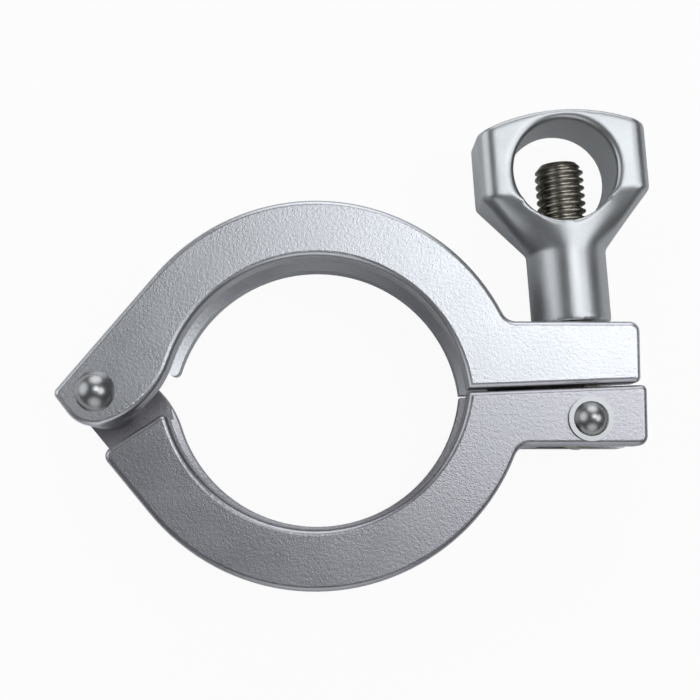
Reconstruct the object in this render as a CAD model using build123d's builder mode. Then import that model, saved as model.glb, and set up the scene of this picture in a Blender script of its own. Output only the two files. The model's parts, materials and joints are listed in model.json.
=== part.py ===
from build123d import *
import math
import os

# Sanitary hinged clamp for a 1 1/2 inch tube: two cast jaws on a rivet hinge, drawn
# together by a swing bolt and a wing nut. It lies flat: +Z is the ring's axis, the hinge
# is at -X and the bolt at +X. The origin is the centre of the ring, halfway through it.

# ---- driving dimensions, in millimetres and degrees ----
jaw_thickness = 19.0
lip_radius = 23.25
lip_land = 4.5
groove_depth = 3.5
groove_slope = 20.0
upper_outer_radius = 31.9
lower_outer_radius = 32.4
edge_round = 0.85

hinge_reach = 33.3
closing_angle = 4.3
ear_radius = 5.25
ear_thickness = 4.7
upper_ear_wall = 4.7813
lower_ear_wall = 5.2813
ear_skirt = 217.7
ear_tip_round = 1.0
ear_arm_angle = 162.6
ear_arm_bulge = 1.75
ear_bottom_angle = 280.0
boss_gap = 0.1
pocket_slope = -33.2
pocket_reach = 8.4
pocket_round = 1.4
hook_round = 0.9

lug_start = 27.0
upper_lug_height = 10.75
upper_lug_end = 49.3
lower_lug_height = 8.15
lower_lug_end = 50.2
parting_level = 0.95
parting_slope = 2.25
parting_gap = 0.4
lug_corner = 1.5
lug_hollow = 2.4
slot_width = 9.0
slot_back = 7.0

bolt_pin_x = 41.5
bolt_pin_y = -4.1
bolt_lean = 3.9
pin_radius = 2.5
running_clearance = 0.05
tight_clearance = 0.01
hinge_dome_radius = 3.1
hinge_dome_height = 2.2
collar_radius = 3.4
collar_height = 0.6
bolt_dome_radius = 2.65
bolt_dome_height = 2.2

stud_radius = 3.88
stud_length = 41.3
stud_chamfer = 0.8
eye_radius = 4.3
eye_thickness = 8.0

nut_seat = 15.4
foot_radius = 6.3
shank_height = 11.5
shoulder_height = 20.2
head_width = 26.6
head_depth = 13.4
head_corner = 2.6
crown_radius = 31.0
finger_hole_radius = 8.05
finger_hole_height = 23.9
hole_round = 0.9
crown_wall = 1.45

# ---- worked out from them ----
half = jaw_thickness / 2
ring_drop = hinge_reach * math.tan(math.radians(closing_angle))
ear_face = half - ear_thickness
slope = math.tan(math.radians(parting_slope))
lean = math.radians(bolt_lean)
far = 60.0
head_height = finger_hole_height + finger_hole_radius + crown_wall


def parting(x, side):
    """Height of a lug's inner face at x, measured away from the other jaw."""
    line = parting_level + (x - bolt_pin_x) * slope
    return side * line + parting_gap / 2


def polar(radius, angle):
    """A vector of this length at this angle, in degrees."""
    a = math.radians(angle)
    return Vector(radius * math.cos(a), radius * math.sin(a))


def meet(p, p_angle, q, q_angle):
    """Where the line through p at p_angle crosses the line through q at q_angle."""
    u, v, gap = polar(1, p_angle), polar(1, q_angle), q - p
    return p + u * ((gap.X * v.Y - gap.Y * v.X) / (u.X * v.Y - u.Y * v.X))


def jaw(plane, side, outer_radius, ear_wall, lug_height, lug_end, hinge_hole, lug_hole):
    """One jaw. In its plane y points away from the other jaw and the hinge ear is on +z."""
    ring = Vector(0, -ring_drop)
    hinge = Vector(-hinge_reach, 0)
    to_hinge = hinge - ring
    ear_flank = math.degrees(
        math.atan2(to_hinge.Y, to_hinge.X) - math.acos((outer_radius - ear_wall) / to_hinge.length)
    )

    # the ear: a straight flank off the ring, a rounded tip and a bulged arm to the lip
    flank_start = ring + polar(outer_radius, ear_flank)
    skirt_touch = hinge + polar(ear_radius, ear_skirt)
    tip = meet(flank_start, ear_flank + 90, skirt_touch, ear_skirt - 90)
    underside = hinge + polar(ear_radius, (ear_skirt + ear_bottom_angle) / 2)
    ear_bottom = hinge + polar(ear_radius, ear_bottom_angle)
    arm_end = ring + polar(lip_radius, ear_arm_angle)
    arm_middle = (ear_bottom + arm_end) / 2
    across = (arm_end - ear_bottom).normalized().rotate(Axis.Z, -90)
    arm_middle += across * ear_arm_bulge

    # the pocket: the other wall stops at a slanted line that clears the other jaw's ear
    pocket_edge = hinge + polar(pocket_reach, pocket_slope + 90)
    pocket_out = pocket_edge - polar(far, pocket_slope)
    pocket_in = pocket_edge + polar(far, pocket_slope)
    wall_end = meet(flank_start, ear_flank + 90, pocket_edge, pocket_slope)
    from_ring = pocket_edge - ring
    along = polar(1, pocket_slope)
    reach = from_ring.dot(along)
    lip_span = math.sqrt(reach**2 - from_ring.dot(from_ring) + lip_radius**2)
    lip_end = pocket_edge - along * (reach + lip_span)
    arc_drop = math.sqrt(outer_radius**2 - (lug_height + ring_drop) ** 2)
    shoulder = Vector(arc_drop, lug_height)
    inner_end = Vector(lug_end, parting(lug_end, side))
    outer_end = Vector(lug_end, lug_height)

    with BuildPart() as body:
        for with_ear in (False, True):
            level = ear_face if with_ear else -half
            with BuildSketch(plane.offset(level)) as outline:
                with Locations(ring):
                    Circle(outer_radius)
                    Circle(lip_radius, mode=Mode.SUBTRACT)
                Polygon(
                    (lug_start, parting(lug_start, side)),
                    inner_end,
                    outer_end,
                    (lug_start, lug_height),
                    align=None,
                )
                Polygon(
                    (0, parting(0, side)),
                    (far, parting(far, side)),
                    (far, -far),
                    (-far, -far),
                    ring + polar(far, ear_arm_angle if with_ear else 180),
                    ring,
                    align=None,
                    mode=Mode.SUBTRACT,
                )
                if with_ear:
                    with BuildLine():
                        Line(flank_start, tip)
                        Line(tip, skirt_touch)
                        ThreePointArc(skirt_touch, underside, ear_bottom)
                        ThreePointArc(ear_bottom, arm_middle, arm_end)
                        Line(arm_end, flank_start)
                    make_face()
                else:
                    Polygon(flank_start, tip, hinge, lip_end, align=None)
                rounds = [(outer_end, lug_corner), (inner_end, edge_round)]
                rounds.append((shoulder, lug_hollow))
                if with_ear:
                    rounds.append((tip, ear_tip_round))
                else:
                    Polygon(
                        pocket_out,
                        pocket_in,
                        (-hinge_reach, -far),
                        align=None,
                        mode=Mode.SUBTRACT,
                    )
                    rounds.append((wall_end, pocket_round))
                    rounds.append((lip_end, hook_round))
                for corner, size in rounds:
                    fillet(outline.vertices().sort_by_distance(corner)[0], size)
            extrude(amount=ear_thickness if with_ear else jaw_thickness - ear_thickness)
            face_level = half if with_ear else -half
            rim = body.edges().filter_by_position(
                Axis((0, 0, 0), plane.z_dir), face_level - 0.01, face_level + 0.01
            )
            fillet(rim, edge_round)

        # the ear's boss round the hinge pin
        with BuildSketch(plane.offset(boss_gap / 2)):
            with Locations(hinge):
                Circle(ear_radius)
        extrude(amount=ear_face - boss_gap / 2)

        # the V groove that the ferrules sit in
        ring_axis = Axis(plane.from_local_coords(ring), (0, 0, 1))
        mouth = half - lip_land
        floor = mouth - groove_depth * math.tan(math.radians(groove_slope))
        with BuildSketch(Plane(ring_axis.position, (1, 0, 0), (0, -1, 0))):
            Polygon(
                (0, mouth),
                (lip_radius, mouth),
                (lip_radius + groove_depth, floor),
                (lip_radius + groove_depth, -floor),
                (lip_radius, -mouth),
                (0, -mouth),
                align=None,
            )
        revolve(axis=ring_axis, mode=Mode.SUBTRACT)

        # the slot that the swing bolt drops into, open at the lug's end
        with BuildSketch(plane.offset(-slot_width / 2)):
            with Locations((bolt_pin_x - slot_back, 0)):
                Rectangle(far, far, align=(Align.MIN, Align.CENTER))
        extrude(amount=slot_width, mode=Mode.SUBTRACT)

        # the holes for the two rivets
        with BuildSketch(plane.offset(-jaw_thickness)):
            with Locations(hinge):
                Circle(hinge_hole)
            if lug_hole:
                with Locations((bolt_pin_x, side * bolt_pin_y)):
                    Circle(lug_hole)
        extrude(amount=2 * jaw_thickness, mode=Mode.SUBTRACT)
    return body.part


def rivet(at, dome_radius, dome_height, collar):
    """A rivet along Z with a domed head at each end, and a collar under each dome if it has one."""
    seat = half + (collar_height if collar else 0)
    ball = (dome_radius**2 + dome_height**2) / (2 * dome_height)
    with BuildPart() as body:
        with BuildSketch(Plane(at, (1, 0, 0), (0, -1, 0))):
            with BuildLine():
                Line((0, 0), (pin_radius, 0))
                Line((pin_radius, 0), (pin_radius, half))
                if collar:
                    Line((pin_radius, half), (collar_radius, half))
                    Line((collar_radius, half), (collar_radius, seat))
                    Line((collar_radius, seat), (dome_radius, seat))
                else:
                    Line((pin_radius, half), (dome_radius, half))
                RadiusArc((dome_radius, seat), (0, seat + dome_height), -ball)
                Line((0, seat + dome_height), (0, 0))
            make_face()
        revolve(axis=Axis(at, (0, 0, 1)))
        mirror(about=Plane.XY)
    return body.part


# ---- the two jaws ----
upper_side = Plane.XY
lower_side = Plane(origin=(0, 0, 0), x_dir=(1, 0, 0), z_dir=(0, 0, -1))
turning_hole = pin_radius + running_clearance
riveted_hole = pin_radius + tight_clearance

upper_jaw = jaw(
    upper_side,
    1,
    upper_outer_radius,
    upper_ear_wall,
    upper_lug_height,
    upper_lug_end,
    turning_hole,
    0,
)
lower_jaw = jaw(
    lower_side,
    -1,
    lower_outer_radius,
    lower_ear_wall,
    lower_lug_height,
    lower_lug_end,
    riveted_hole,
    riveted_hole,
)

# ---- the two rivets ----
hinge_pin = rivet((-hinge_reach, 0, 0), hinge_dome_radius, hinge_dome_height, False)
bolt_pin = rivet((bolt_pin_x, bolt_pin_y, 0), bolt_dome_radius, bolt_dome_height, True)

# ---- the swing bolt: a flat eye on a round stud ----
pin_place = (bolt_pin_x, bolt_pin_y, 0)
across_bolt = (math.cos(lean), math.sin(lean), 0)
up_bolt = (-math.sin(lean), math.cos(lean), 0)
bolt_front = Plane(pin_place, across_bolt, (0, 0, 1))
bolt_end_on = Plane(pin_place, across_bolt, up_bolt)

with BuildPart() as swing_bolt:
    with BuildSketch(bolt_end_on):
        Circle(stud_radius)
    extrude(amount=stud_length)
    chamfer(swing_bolt.faces().sort_by(Axis(pin_place, up_bolt))[-1].edges(), stud_chamfer)
    with BuildSketch(bolt_front.offset(-eye_thickness / 2)):
        Circle(eye_radius)
    extrude(amount=eye_thickness)
    with BuildSketch(bolt_front.offset(-eye_thickness)):
        Circle(turning_hole)
    extrude(amount=2 * eye_thickness, mode=Mode.SUBTRACT)

# ---- the wing nut: a round shank that flares into a flat head with a finger hole ----
with BuildPart() as wing_nut:
    with BuildSketch(bolt_end_on.offset(nut_seat)):
        Circle(foot_radius)
    extrude(amount=shank_height)
    with BuildSketch(bolt_end_on.offset(nut_seat + shank_height)):
        Circle(foot_radius)
    with BuildSketch(bolt_end_on.offset(nut_seat + shoulder_height)):
        RectangleRounded(head_width, head_depth, head_corner)
    loft()
    with BuildSketch(bolt_end_on.offset(nut_seat + shoulder_height)):
        RectangleRounded(head_width, head_depth, head_corner)
    extrude(amount=head_height - shoulder_height)
    # the crown is a shallow arc across the head
    crown_centre = nut_seat + head_height - crown_radius
    with BuildSketch(bolt_front.offset(-far)):
        with Locations((0, nut_seat + shoulder_height)):
            Rectangle(2 * far, 2 * far, align=(Align.CENTER, Align.MIN))
        with Locations((0, crown_centre)):
            Circle(crown_radius, mode=Mode.SUBTRACT)
    extrude(amount=2 * far, mode=Mode.SUBTRACT)
    with BuildSketch(bolt_front.offset(-far)):
        with Locations((0, nut_seat + finger_hole_height)):
            Circle(finger_hole_radius)
    extrude(amount=2 * far, mode=Mode.SUBTRACT)
    rings = wing_nut.edges().filter_by(GeomType.CIRCLE)
    fillet(rings.filter_by(lambda e: abs(e.radius - finger_hole_radius) < 0.01), hole_round)
    with BuildSketch(bolt_end_on):
        Circle(stud_radius + running_clearance)
    extrude(amount=nut_seat + finger_hole_height, mode=Mode.SUBTRACT)

pieces = {
    "upper_jaw": upper_jaw,
    "lower_jaw": lower_jaw,
    "hinge_pin": hinge_pin,
    "bolt_pin": bolt_pin,
    "swing_bolt": swing_bolt.part,
    "wing_nut": wing_nut.part,
}
os.makedirs("parts", exist_ok=True)
for name, piece in pieces.items():
    piece.label = name
    export_step(piece, f"parts/{name}.step")
    print(name, round(piece.volume, 1), "mm3")
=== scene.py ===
# %% [markdown]
# # A sanitary hinged clamp
# Two cast stainless jaws on a rivet hinge close round a pair of tube ferrules. A swing
# bolt and a wing nut draw them together. The jaws and rivets are CAD nodes and keep their
# shapes. Here the stud gets its thread, the nut its soft cast edges, and every surface
# its finish.

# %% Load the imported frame
import json
import math

import bpy
from mathutils import Matrix, Vector


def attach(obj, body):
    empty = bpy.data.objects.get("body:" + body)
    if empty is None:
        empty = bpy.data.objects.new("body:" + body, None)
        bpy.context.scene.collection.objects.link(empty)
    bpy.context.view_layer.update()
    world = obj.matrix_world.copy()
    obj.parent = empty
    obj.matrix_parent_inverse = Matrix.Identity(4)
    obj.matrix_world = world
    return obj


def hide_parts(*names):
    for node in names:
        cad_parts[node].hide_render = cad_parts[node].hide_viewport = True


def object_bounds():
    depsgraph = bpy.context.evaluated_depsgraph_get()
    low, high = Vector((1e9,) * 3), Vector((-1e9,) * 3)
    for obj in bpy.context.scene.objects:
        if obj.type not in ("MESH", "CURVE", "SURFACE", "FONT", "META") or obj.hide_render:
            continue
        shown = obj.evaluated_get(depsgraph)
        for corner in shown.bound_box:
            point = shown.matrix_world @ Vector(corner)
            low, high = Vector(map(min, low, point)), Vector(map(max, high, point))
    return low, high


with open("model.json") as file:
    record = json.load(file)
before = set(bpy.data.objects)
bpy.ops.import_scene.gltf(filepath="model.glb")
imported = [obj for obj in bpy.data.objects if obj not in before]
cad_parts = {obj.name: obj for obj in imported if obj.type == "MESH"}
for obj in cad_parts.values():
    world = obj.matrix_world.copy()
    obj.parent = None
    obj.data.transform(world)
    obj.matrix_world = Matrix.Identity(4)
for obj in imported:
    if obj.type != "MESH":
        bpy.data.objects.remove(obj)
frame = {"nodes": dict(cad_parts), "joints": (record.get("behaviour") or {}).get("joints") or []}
cad_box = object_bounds()
MM = 0.001

# %% [markdown]
# ## Where the bolt is
# The bolt leans a few degrees towards the ring, as it was left. Its axis and the pin it
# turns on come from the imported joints, so the thread always follows the CAD stud.

# %% The bolt's own axes
joints = {joint["name"]: joint for joint in frame["joints"]}
PIN = Vector(joints["bolt_swing"]["pos_m"])
BOLT_UP = Vector(joints["nut_travel"]["axis"]).normalized()
FRONT = Vector((0, 0, 1))
ACROSS = BOLT_UP.cross(FRONT)
BOLT_PLACE = Matrix.Translation(PIN) @ Matrix((ACROSS, -FRONT, BOLT_UP)).transposed().to_4x4()
stud_points = [v.co for v in frame["nodes"]["swing_bolt"].data.vertices]
STUD_LENGTH = max((p - PIN).dot(BOLT_UP) for p in stud_points)
print("stud length, mm:", round(STUD_LENGTH / MM, 2))

# %% [markdown]
# ## Working helpers
# A new primitive comes in selected, and so do the CAD nodes, so each step begins by
# selecting one object alone.


# %% Select one object
def only(piece):
    """Makes this piece the one that is selected and active."""
    bpy.ops.object.select_all(action="DESELECT")
    piece.select_set(True)
    bpy.context.view_layer.objects.active = piece
    return piece


def apply_all(piece):
    """Applies the piece's modifiers in their order."""
    only(piece)
    for modifier in list(piece.modifiers):
        bpy.ops.object.modifier_apply(modifier=modifier.name)


def own_copy(node, name):
    """A welded copy of a CAD node's mesh, as a new object."""
    piece = node.copy()
    piece.data = node.data.copy()
    piece.name = piece.data.name = name
    piece.parent = None
    bpy.context.scene.collection.objects.link(piece)
    only(piece)
    bpy.ops.object.mode_set(mode="EDIT")
    bpy.ops.mesh.select_all(action="SELECT")
    bpy.ops.mesh.remove_doubles(threshold=0.002 * MM)
    bpy.ops.object.mode_set(mode="OBJECT")
    return piece


# %% [markdown]
# ## The threaded stud
# An M8 thread has a pitch of 1.25 mm and crests just under 8 mm across. A Screw modifier
# could sweep one tooth, but its ends stay open. Here a round bar is drawn up ring by ring
# by extruding its end, and then each ring's points move in and out as the helix passes,
# which leaves one closed mesh with the thread running out at both ends.

# %% Thread sizes
PITCH = 1.25 * MM
CREST = 3.86 * MM
THREAD_DEPTH = 0.68 * MM
RUN_OUT = 1.1 * MM
THREAD_START = 11.0 * MM
RINGS_PER_TURN = 10
SIDES = 56

# %% Draw up the bar
bpy.ops.object.select_all(action="DESELECT")
bpy.ops.mesh.primitive_circle_add(vertices=SIDES, radius=CREST, fill_type="NGON")
thread = bpy.context.object
thread.name = thread.data.name = "stud_thread"
ring_step = PITCH / RINGS_PER_TURN
ring_count = int((STUD_LENGTH - THREAD_START) / ring_step)
bpy.ops.object.mode_set(mode="EDIT")
for ring in range(ring_count):
    bpy.ops.mesh.extrude_region_move(TRANSFORM_OT_translate={"value": (0, 0, ring_step)})
bpy.ops.mesh.select_all(action="SELECT")
bpy.ops.mesh.normals_make_consistent(inside=False)
bpy.ops.object.mode_set(mode="OBJECT")
print("thread rings:", ring_count)


# %% Cut the helix
def thread_radius(angle, height, length):
    """The bar's radius at this angle and height: flat crest, sloping flanks, round root."""
    phase = (height / PITCH - angle / (2 * math.pi)) % 1.0
    tooth = min(1.0, max(0.0, 2.6 * abs(phase - 0.5) - 0.12))
    tooth = tooth * tooth * (3 - 2 * tooth)
    radius = CREST - THREAD_DEPTH * (1 - tooth)
    from_end = length - height
    chamfer = CREST - max(0.0, RUN_OUT - from_end) * 0.9
    return min(radius, chamfer)


bar_length = ring_count * ring_step
for vertex in thread.data.vertices:
    angle = math.atan2(vertex.co.y, vertex.co.x)
    radius = thread_radius(angle, vertex.co.z, bar_length)
    vertex.co.x = radius * math.cos(angle)
    vertex.co.y = radius * math.sin(angle)
    vertex.co.z += STUD_LENGTH - bar_length
thread.data.transform(BOLT_PLACE)

# %% [markdown]
# The eye and the plain neck are the CAD bolt itself, cut off square just above where the
# thread starts, so that the two meet inside the nut.

# %% The eye and neck
eye = own_copy(frame["nodes"]["swing_bolt"], "bolt_eye")
bpy.ops.object.mode_set(mode="EDIT")
bpy.ops.mesh.select_all(action="SELECT")
bpy.ops.mesh.bisect(
    plane_co=PIN + BOLT_UP * (THREAD_START + PITCH),
    plane_no=BOLT_UP,
    use_fill=True,
    clear_outer=True,
)
bpy.ops.object.mode_set(mode="OBJECT")

# %% [markdown]
# ## The wing nut
# The nut is a casting that was tumbled until its edges went soft. The CAD nut has the
# right faces but sharp edges, so a copy of it is remeshed in fine voxels and smoothed: the
# flats stay flat, and every edge and blend rounds off by about half a millimetre.

# %% Soften the nut
NUT_VOXEL = 0.27 * MM
NUT_PASSES = 14
nut = own_copy(frame["nodes"]["wing_nut"], "nut_casting")
remesh = nut.modifiers.new("voxels", "REMESH")
remesh.mode = "VOXEL"
remesh.voxel_size = NUT_VOXEL
smooth = nut.modifiers.new("tumbled", "SMOOTH")
smooth.factor = 0.5
smooth.iterations = NUT_PASSES
apply_all(nut)
only(nut)
bpy.ops.object.shade_smooth()
print("nut faces:", len(nut.data.polygons))

for piece in (thread, eye):
    only(piece)
    bpy.ops.object.shade_smooth_by_angle(angle=math.radians(35))

# %% [markdown]
# ## Materials
# All of it is stainless steel, and what differs is how each surface was made. Colours are
# written as sRGB hex values and turned to linear by one function. One small function adds
# a node with its settings and links.


# %% Colour and node helpers
def hex_colour(text):
    """An sRGB hex colour as linear RGBA."""
    parts = [int(text[i : i + 2], 16) / 255 for i in (1, 3, 5)]
    return (*[c / 12.92 if c <= 0.04045 else ((c + 0.055) / 1.055) ** 2.4 for c in parts], 1)


def add(tree, kind, settings=None, links=None):
    """Adds a node, sets its properties or inputs, and links sockets into its inputs."""
    node = tree.nodes.new(kind)
    for key, value in (settings or {}).items():
        if isinstance(key, str) and hasattr(node, key):
            setattr(node, key, value)
        else:
            node.inputs[key].default_value = value
    for key, socket in (links or {}).items():
        tree.links.new(socket, node.inputs[key])
    return node


def new_material(name):
    """An empty node material with its output, and the object's own coordinates."""
    material = bpy.data.materials.new(name)
    material.use_nodes = True
    tree = material.node_tree
    tree.nodes.clear()
    return material, tree, add(tree, "ShaderNodeTexCoord").outputs["Object"]


# %% [markdown]
# ### Tumbled cast stainless
# Cast jaws keep a fine orange peel after tumbling. Grains about 0.5 mm wide break up the
# highlight, a finer grit of 0.22 mm lies over them, and patches about 7 mm wide vary the
# polish a little. All four steels below share one function.


# %% Steel with a cast or a rolled surface
PATCH_MM = 7
GRIT_MM = 0.22


def steel(name, light, dark, roughness, spread, peel_mm, peel_height, fine_height):
    """Bare steel: colour between two greys, patchy roughness and an orange peel bump."""
    material, tree, where = new_material(name)
    patches = add(
        tree,
        "ShaderNodeTexNoise",
        {"Scale": 1 / (PATCH_MM * MM), "Detail": 3.0, "Roughness": 0.55},
        {"Vector": where},
    )
    peel = add(
        tree,
        "ShaderNodeTexNoise",
        {"Scale": 1 / (peel_mm * MM), "Detail": 2.0, "Roughness": 0.5},
        {"Vector": where},
    )
    grit = add(
        tree,
        "ShaderNodeTexNoise",
        {"Scale": 1 / (GRIT_MM * MM), "Detail": 1.0, "Roughness": 0.5},
        {"Vector": where},
    )
    colour = add(
        tree,
        "ShaderNodeMix",
        {"data_type": "RGBA", 6: hex_colour(dark), 7: hex_colour(light)},
        {0: patches.outputs["Fac"]},
    )
    rough = add(
        tree,
        "ShaderNodeMapRange",
        {
            "From Min": 0.3,
            "From Max": 0.7,
            "To Min": roughness - spread,
            "To Max": roughness + spread,
        },
        {"Value": patches.outputs["Fac"]},
    )
    peel_bump = add(
        tree,
        "ShaderNodeBump",
        {"Strength": 1.0, "Distance": peel_height * MM},
        {"Height": peel.outputs["Fac"]},
    )
    grit_bump = add(
        tree,
        "ShaderNodeBump",
        {"Strength": 1.0, "Distance": fine_height * MM},
        {"Height": grit.outputs["Fac"], "Normal": peel_bump.outputs["Normal"]},
    )
    shader = add(
        tree,
        "ShaderNodeBsdfPrincipled",
        {"Metallic": 1.0},
        {
            "Base Color": colour.outputs[2],
            "Roughness": rough.outputs["Result"],
            "Normal": grit_bump.outputs["Normal"],
        },
    )
    add(tree, "ShaderNodeOutputMaterial", {}, {"Surface": shader.outputs["BSDF"]})
    return material


# %% [markdown]
# The lower jaw reads darker than the upper one on the real clamp. Whether that is its
# finish or the way it lies is not known, so its steel is simply a darker grey. The nut is
# smoother, with a finer peel. The rolled bolt is browner and has no cast grain. The
# rivets are the smoothest, so their domes gather the light into a soft spot.

# %% The steels
cast_jaw = steel("tumbled_cast_jaw", "#D1D1D3", "#C2C2C4", 0.32, 0.02, 0.50, 0.022, 0.016)
cast_lower = steel("tumbled_cast_lower_jaw", "#B5B3B6", "#A5A3A7", 0.32, 0.02, 0.50, 0.022, 0.016)
cast_nut = steel("tumbled_cast_nut", "#C4C5C5", "#AFB0B0", 0.34, 0.03, 0.7, 0.008, 0.008)
rolled_bolt = steel("rolled_bolt_steel", "#B4AFA6", "#8E887E", 0.30, 0.06, 0.6, 0.006, 0.003)
rivet = steel("polished_rivet_steel", "#AFAFAE", "#A2A2A1", 0.28, 0.02, 1.2, 0.006, 0.001)

# %% Dress every piece
finishes = {
    "upper_jaw": cast_jaw,
    "lower_jaw": cast_lower,
    "hinge_pin": rivet,
    "bolt_pin": rivet,
}
for node_name, finish in finishes.items():
    node = frame["nodes"][node_name]
    node.data.materials.clear()
    node.data.materials.append(finish)
for piece, finish in ((thread, rolled_bolt), (eye, rolled_bolt), (nut, cast_nut)):
    piece.data.materials.clear()
    piece.data.materials.append(finish)

# %% [markdown]
# ## Riding on the bodies
# The thread and the eye swing with the bolt, and the nut casting goes with the nut.

# %% Hand the pieces to the frame
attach(thread, "swing_bolt")
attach(eye, "swing_bolt")
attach(nut, "wing_nut")
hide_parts("swing_bolt")
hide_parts("swing_bolt")
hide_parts("wing_nut")

# %% [markdown]
# ## Floor, light and camera
# A near-white floor lies just under the rivet heads. To the camera it is nearly plain
# white, so shadows on it are faint, while the metal still reflects it as paper.

# %% The floor
FLOOR_SIZE = 3.0
FLOOR_GLOW = 0.94
bpy.ops.object.select_all(action="DESELECT")
bpy.ops.mesh.primitive_plane_add(size=FLOOR_SIZE, location=(0, 0, cad_box[0][2]))
floor = bpy.context.object
floor.name = "floor"
white, tree, _ = new_material("white_floor")
paper = add(tree, "ShaderNodeBsdfDiffuse", {"Color": hex_colour("#F4F4F4")})
glow = add(tree, "ShaderNodeEmission", {"Color": (1, 1, 1, 1), "Strength": 1.0})
path = add(tree, "ShaderNodeLightPath")
seen = add(
    tree,
    "ShaderNodeMath",
    {"operation": "MULTIPLY", 1: FLOOR_GLOW},
    {0: path.outputs["Is Camera Ray"]},
)
sheet = add(
    tree,
    "ShaderNodeMixShader",
    {},
    {0: seen.outputs[0], 1: paper.outputs[0], 2: glow.outputs[0]},
)
add(tree, "ShaderNodeOutputMaterial", {}, {"Surface": sheet.outputs[0]})
floor.data.materials.append(white)

# %% [markdown]
# The light comes from the world alone: a dim grey all round, with a few soft patches of
# light in it, because bare metal shows only what it reflects. Each patch is a dot product
# with its direction, eased from its rim to its middle. The strong ones stand to the upper
# right, so flat faces fall off from the lugs to the hinge.

# %% The soft lights
world = bpy.data.worlds.new("studio")
bpy.context.scene.world = world
world.use_nodes = True
sky = world.node_tree
sky.nodes.clear()
look = add(sky, "ShaderNodeTexCoord").outputs["Generated"]


def soft_light(toward, middle_deg, rim_deg, strength):
    """One round patch of light in the world, as a socket with its brightness."""
    facing = add(
        sky,
        "ShaderNodeVectorMath",
        {"operation": "DOT_PRODUCT", 1: Vector(toward).normalized()},
        {0: look},
    )
    eased = add(
        sky,
        "ShaderNodeMapRange",
        {
            "interpolation_type": "SMOOTHSTEP",
            "From Min": math.cos(math.radians(rim_deg)),
            "From Max": math.cos(math.radians(middle_deg)),
            "To Max": strength,
        },
        {"Value": facing.outputs["Value"]},
    )
    return eased.outputs["Result"]


AMBIENT = 0.12
lights = [
    soft_light((0.19, 0.21, 0.96), 4, 17, 3.2),
    soft_light((0.60, 0.02, 0.80), 8, 22, 2.2),
    soft_light((-0.85, 0.20, 0.45), 10, 35, 1.3),
    soft_light((0.00, -0.85, 0.45), 10, 35, 0.9),
    soft_light((0.05, 0.90, 0.40), 12, 34, 1.8),
]
level = add(sky, "ShaderNodeValue").outputs[0]
level.default_value = AMBIENT
for light in lights:
    level = add(sky, "ShaderNodeMath", {"operation": "ADD"}, {0: level, 1: light}).outputs[0]
dim = add(sky, "ShaderNodeBackground", {"Color": hex_colour("#F6FAFF")}, {"Strength": level})
clear = add(sky, "ShaderNodeBackground", {"Color": (1, 1, 1, 1), "Strength": 1.0})
ray = add(sky, "ShaderNodeLightPath")
both = add(
    sky,
    "ShaderNodeMixShader",
    {},
    {0: ray.outputs["Is Camera Ray"], 1: dim.outputs[0], 2: clear.outputs[0]},
)
add(sky, "ShaderNodeOutputWorld", {}, {"Surface": both.outputs[0]})

# %% The camera
CAMERA_PLACE = (3.065 * MM, -14.94 * MM, 214.0 * MM)
CAMERA_TILT = math.radians(5.92)
CAMERA_YAW = math.radians(-0.59)
lens = bpy.data.cameras.new("camera")
lens.sensor_width = 36.0
lens.lens = 69.9
lens.clip_start = 0.01
camera = bpy.data.objects.new("camera", lens)
camera.location = CAMERA_PLACE
camera.rotation_euler = (CAMERA_TILT, CAMERA_YAW, 0)
bpy.context.scene.collection.objects.link(camera)
bpy.context.scene.camera = camera
bpy.context.scene.view_settings.view_transform = "Standard"
